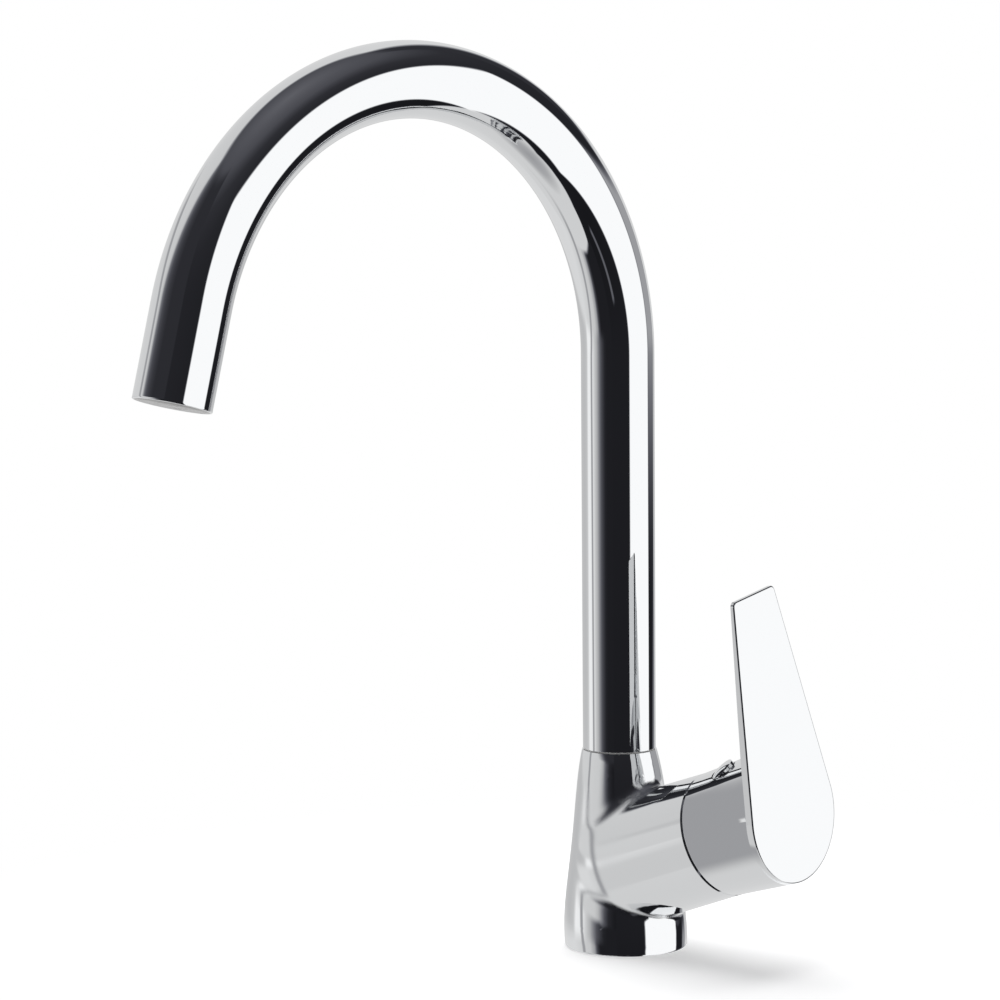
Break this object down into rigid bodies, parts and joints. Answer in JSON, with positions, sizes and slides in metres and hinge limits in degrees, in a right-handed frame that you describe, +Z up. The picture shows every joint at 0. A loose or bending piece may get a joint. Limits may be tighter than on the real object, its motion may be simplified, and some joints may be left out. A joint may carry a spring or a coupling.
{
  "type": "three way filtered water tap",
  "caption": "Deck mounted swan neck kitchen tap with a swivelling spout, a side lever on a slanted barrel and a separate filtered water way.",
  "frame": {"origin": "centre of the foot in the plane of the worktop, on the axis of the fixing stud", "axes": "+Z up, +X towards the lever, in line with its slanted barrel, and the spout towards -Y, turned 4.5 degrees to -X at rest"},
  "size_m": [0.1189, 0.2512, 0.3457],
  "materials": {
    "chrome": "polished",
    "brass": "machined",
    "steel": "satin",
    "rubber": "matte",
    "ceramic": "lapped",
    "cartridge_plastic": "matte",
    "white_plastic": "matte",
    "dark_plastic": "satin"
  },
  "bodies": {
    "body": {"tap_body": "chrome", "base_gasket": "rubber", "filtered_riser": "brass", "riser_o_ring": "rubber", "spout_grub_screw": "steel", "spout_glide_ring": "white_plastic", "cartridge_base": "cartridge_plastic", "port_seals": "rubber", "cartridge_housing": "cartridge_plastic", "fixed_disc": "ceramic", "cartridge_nut": "brass", "dome_cover": "chrome"},
    "spout": {"spout_tube": "chrome", "spout_foot": "brass", "spout_foot_o_rings": "rubber", "filtered_hose": "white_plastic", "outlet_insert": "dark_plastic", "outlet_o_ring": "rubber", "mixed_water_screen": "steel", "filtered_nozzle": "dark_plastic"},
    "guide": {"stem_guide": "cartridge_plastic", "stem_pin": "steel", "guide_o_ring": "rubber"},
    "lever": {"lever_handle": "chrome", "lever_stem": "steel", "lever_grub_screw": "steel", "indicator_plug": "chrome"},
    "disc": {"moving_disc": "ceramic", "disc_carrier": "cartridge_plastic"}
  },
  "joints": [
    {"name": "spout_swivel", "type": "hinge", "parent": "body", "child": "spout", "pos_m": [-0.003, 0, 0.0762], "axis": [0, 0, 1], "continuous": true},
    {"name": "lever_turn", "type": "hinge", "parent": "body", "child": "guide", "pos_m": [0.03581, 0, 0.04482], "axis": [0.9397, 0, 0.342], "range_deg": [-60, 40]},
    {"name": "lever_lift", "type": "hinge", "parent": "guide", "child": "lever", "pos_m": [0.03581, 0, 0.04482], "axis": [-0.0594, 0.9848, 0.1632], "range_deg": [0, 25]},
    {"name": "disc_slide", "type": "slide", "parent": "guide", "child": "disc", "axis": [-0.3368, -0.1736, 0.9254], "range_m": [0, 0.00321]}
  ],
  "couplings": [
    {"joint": "disc_slide", "follows": "lever_lift", "m_per_rad": 0.0073414}
  ]
}
